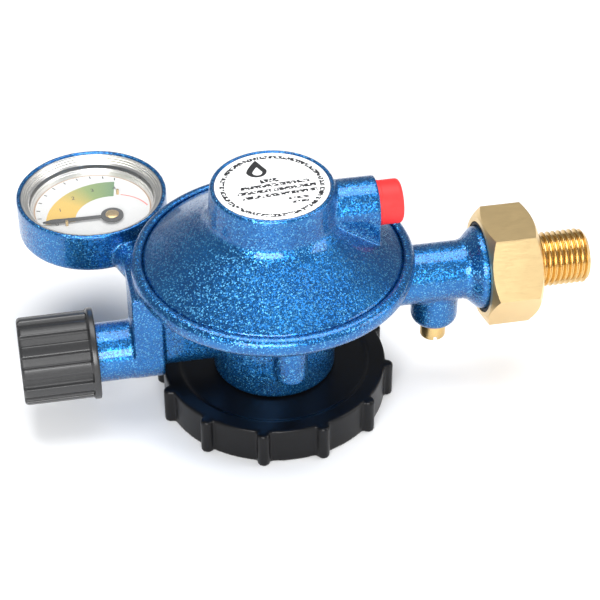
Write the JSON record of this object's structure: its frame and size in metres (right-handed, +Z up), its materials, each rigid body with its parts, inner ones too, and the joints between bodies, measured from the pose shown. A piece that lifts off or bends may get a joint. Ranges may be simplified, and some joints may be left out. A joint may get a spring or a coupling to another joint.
{
  "type": "gas regulator",
  "caption": "Low-pressure gas regulator: round two-part casing with a spring tower, hand wheel inlet, shut-off knob, contents gauge and threaded swivel outlet.",
  "frame": {"origin": "centre of the threaded inlet's lower end, inside the hand wheel", "axes": "+Z up the inlet axis through the spring tower, +X along the outlet, +Y towards the gauge's side"},
  "size_m": [0.1365, 0.0868, 0.0603],
  "materials": {
    "blue_paint": "gloss",
    "label": "satin",
    "brass": "satin",
    "steel": "satin",
    "zinc": "satin",
    "rubber": "matte",
    "nylon": "matte",
    "red_plastic": "matte",
    "black_plastic": "gloss",
    "copper": "satin",
    "sintered_bronze": "matte",
    "silver": "brushed",
    "clear_lens": "clear",
    "dial_white": "satin",
    "pointer_black": "matte"
  },
  "bodies": {
    "casing": {"lower_housing": "blue_paint", "bonnet": "blue_paint", "tower_cap": "blue_paint", "label_disc": "label", "adjusting_screw": "brass", "lever_pin": "steel", "inlet_nozzle": "brass", "vent_screen": "steel", "outlet_snap_ring": "steel", "outlet_o_ring": "rubber", "test_screw": "brass", "test_washer": "copper", "spindle_gland": "brass", "coupling_washer": "nylon", "inlet_nipple": "brass", "inlet_seal": "rubber", "inlet_filter": "sintered_bronze", "opening_pin": "steel", "gauge_ring": "silver", "gauge_lens": "clear_lens", "gauge_spacer": "silver", "gauge_dial": "dial_white", "stop_pins": "brass", "movement_plate": "brass", "bourdon_tube": "copper", "bourdon_socket": "brass"},
    "hand_wheel": {"handwheel": "black_plastic", "coupling_bolt": "zinc"},
    "outlet_swivel": {"outlet_connector": "brass", "outlet_wiper_ring": "rubber"},
    "shutoff_slider": {"shutoff_pad": "rubber"},
    "shutoff_grip": {"shutoff_knob": "black_plastic", "shutoff_spindle": "brass", "spindle_o_ring": "rubber", "knob_screw": "steel"},
    "vent_plug": {"vent_cap": "red_plastic"},
    "diaphragm_stack": {"main_spring": "steel", "diaphragm": "rubber", "diaphragm_plate": "zinc", "diaphragm_stem": "brass", "stem_nut": "steel", "relief_spring": "steel"},
    "valve_lever": {"lever": "steel"},
    "seat_slider": {"pad_holder": "nylon", "seat_pad": "rubber"},
    "pointer": {"gauge_pointer": "pointer_black", "pointer_arbor": "brass"},
    "sector": {"sector_gear": "brass"},
    "link": {"gauge_link": "brass"}
  },
  "joints": [
    {"name": "handwheel_turn", "type": "hinge", "parent": "casing", "child": "hand_wheel", "pos_m": [0, 0, 0], "axis": [0, 0, 1], "continuous": true},
    {"name": "outlet_turn", "type": "hinge", "parent": "casing", "child": "outlet_swivel", "pos_m": [0.055, 0, 0.0287], "axis": [1, 0, 0], "continuous": true},
    {"name": "shutoff_slide", "type": "slide", "parent": "casing", "child": "shutoff_slider", "axis": [-1, 0, 0], "range_m": [0, 0.0015]},
    {"name": "shutoff_turn", "type": "hinge", "parent": "shutoff_slider", "child": "shutoff_grip", "pos_m": [-0.045, 0, 0.0164], "axis": [-1, 0, 0], "range_deg": [0, 541]},
    {"name": "vent_cap_pull", "type": "slide", "parent": "casing", "child": "vent_plug", "axis": [1, 0, 0], "range_m": [0, 0.012]},
    {"name": "diaphragm_lift", "type": "slide", "parent": "casing", "child": "diaphragm_stack", "axis": [0, 0, 1], "range_m": [0, 0.002], "stiffness_N_per_m": 2500, "springref_m": -0.004, "deforming": ["main_spring", "diaphragm"]},
    {"name": "lever_swing", "type": "hinge", "parent": "casing", "child": "valve_lever", "pos_m": [-0.0145, 0, 0.027], "axis": [0, -1, 0], "range_deg": [0, 8]},
    {"name": "seat_slide", "type": "slide", "parent": "casing", "child": "seat_slider", "axis": [-1, 0, 0], "range_m": [0, 0.00056]},
    {"name": "pointer_turn", "type": "hinge", "parent": "casing", "child": "pointer", "pos_m": [-0.0344, 0.0308, 0.033], "axis": [0, 0, -1], "range_deg": [0, 98], "stiffness_Nm_per_rad": 0.00001},
    {"name": "sector_swing", "type": "hinge", "parent": "casing", "child": "sector", "pos_m": [-0.04241, 0.03543, 0.0298], "axis": [0, 0, 1], "range_deg": [0, 15]},
    {"name": "link_swing", "type": "hinge", "parent": "sector", "child": "link", "pos_m": [-0.04674, 0.03793, 0.0305], "axis": [0, 0, -1], "range_deg": [0, 15]}
  ],
  "couplings": [
    {"joint": "shutoff_turn", "follows": "shutoff_slide", "rad_per_m": 6283.2},
    {"joint": "lever_swing", "follows": "diaphragm_lift", "rad_per_m": 68.966},
    {"joint": "seat_slide", "follows": "diaphragm_lift", "ratio": 0.27586},
    {"joint": "sector_swing", "follows": "pointer_turn", "ratio": 0.15},
    {"joint": "link_swing", "follows": "pointer_turn", "ratio": 0.15}
  ]
}
